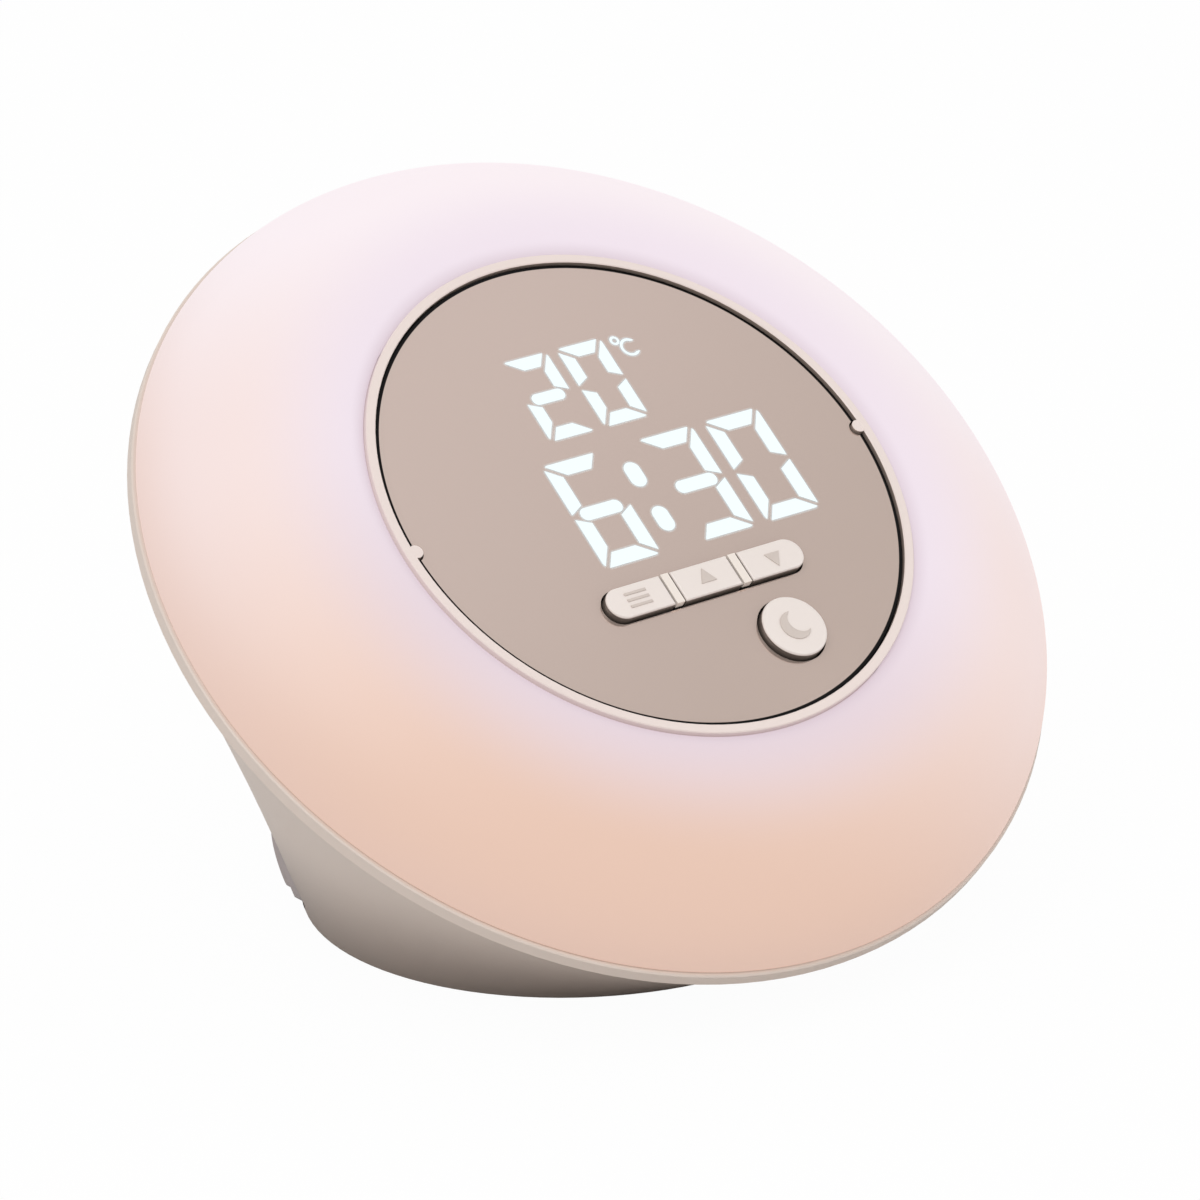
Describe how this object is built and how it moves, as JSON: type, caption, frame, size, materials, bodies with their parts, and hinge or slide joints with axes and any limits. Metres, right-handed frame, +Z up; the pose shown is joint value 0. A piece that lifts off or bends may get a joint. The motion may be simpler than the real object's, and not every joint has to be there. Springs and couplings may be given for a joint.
{
  "type": "sunrise alarm clock",
  "caption": "Bedside clock with a tilted glowing ring round a mirrored display, press keys below it and a tapered body on a flat round foot.",
  "frame": {"origin": "middle of the foot pad's flat underside, on the table", "axes": "+Z up, the face looks towards -Y and leans back, +X is to the right of someone who reads the face"},
  "size_m": [0.1574, 0.1257, 0.1141],
  "materials": {
    "cell_metal": "plain",
    "circuit_board": "green solder mask",
    "dark_light_bar": "milky, unlit",
    "diffuser": "frosted translucent white, lit from inside in lilac, pink and peach",
    "display_black": "matt black",
    "foam": "black closed-cell foam",
    "foot_rubber": "matt",
    "keycap": "satin light beige",
    "lead_sleeve": "smooth",
    "led_package": "white package with pale yellow phosphor",
    "lit_light_bar": "bright blue-white",
    "mirror_glass": "rose grey half-mirror",
    "panel_grey": "satin cool grey",
    "screw_steel": "zinc plated",
    "shell": "fine satin warm beige",
    "socket_metal": "tin plated",
    "speaker_frame": "black",
    "speaker_paper": "matt black",
    "switch_black": "matt black",
    "trim": "satin light beige",
    "white_moulding": "matt white reflector"
  },
  "bodies": {
    "clock_body": {"bezel_ring": "trim", "mirror_panel": "mirror_glass", "mirror_gasket": "foam", "diffuser_dome": "diffuser", "rear_shell": "shell", "reflector_tray": "white_moulding", "tray_screws": "screw_steel", "ring_board": "circuit_board", "ring_leds": "led_package", "display_housing": "display_black", "lit_segments": "lit_light_bar", "dark_segments": "dark_light_bar", "tact_switches": "switch_black", "key_frame": "trim", "front_board": "circuit_board", "front_board_screws": "screw_steel", "main_board": "circuit_board", "main_board_screws": "screw_steel", "board_header": "switch_black", "control_chip": "switch_black", "cell_holder": "switch_black", "backup_cell": "cell_metal", "base_cover": "shell", "base_screws": "screw_steel", "foot_pad": "foot_rubber", "rear_panel": "panel_grey", "power_socket": "socket_metal", "socket_board": "circuit_board", "socket_screws": "screw_steel", "speaker_basket": "speaker_frame", "speaker_screws": "screw_steel", "speaker_magnet": "cell_metal", "speaker_cone": "speaker_paper", "ring_lead": "lead_sleeve", "power_lead": "lead_sleeve", "speaker_lead": "lead_sleeve"},
    "mode_assembly": {"mode_key": "keycap", "mode_plunger": "switch_black"},
    "up_assembly": {"up_key": "keycap", "up_plunger": "switch_black"},
    "down_assembly": {"down_key": "keycap", "down_plunger": "switch_black"},
    "snooze_assembly": {"snooze_button": "keycap", "snooze_plunger": "switch_black"}
  },
  "joints": [
    {"name": "mode_press", "type": "slide", "parent": "clock_body", "child": "mode_assembly", "axis": [0, 0.6293, -0.7771], "range_m": [0, 0.0005], "stiffness_N_per_m": 600, "springref_m": -0.0005},
    {"name": "up_press", "type": "slide", "parent": "clock_body", "child": "up_assembly", "axis": [0, 0.6293, -0.7771], "range_m": [0, 0.0005], "stiffness_N_per_m": 600, "springref_m": -0.0005},
    {"name": "down_press", "type": "slide", "parent": "clock_body", "child": "down_assembly", "axis": [0, 0.6293, -0.7771], "range_m": [0, 0.0005], "stiffness_N_per_m": 600, "springref_m": -0.0005},
    {"name": "snooze_press", "type": "slide", "parent": "clock_body", "child": "snooze_assembly", "axis": [0, 0.6293, -0.7771], "range_m": [0, 0.0005], "stiffness_N_per_m": 600, "springref_m": -0.0005}
  ]
}
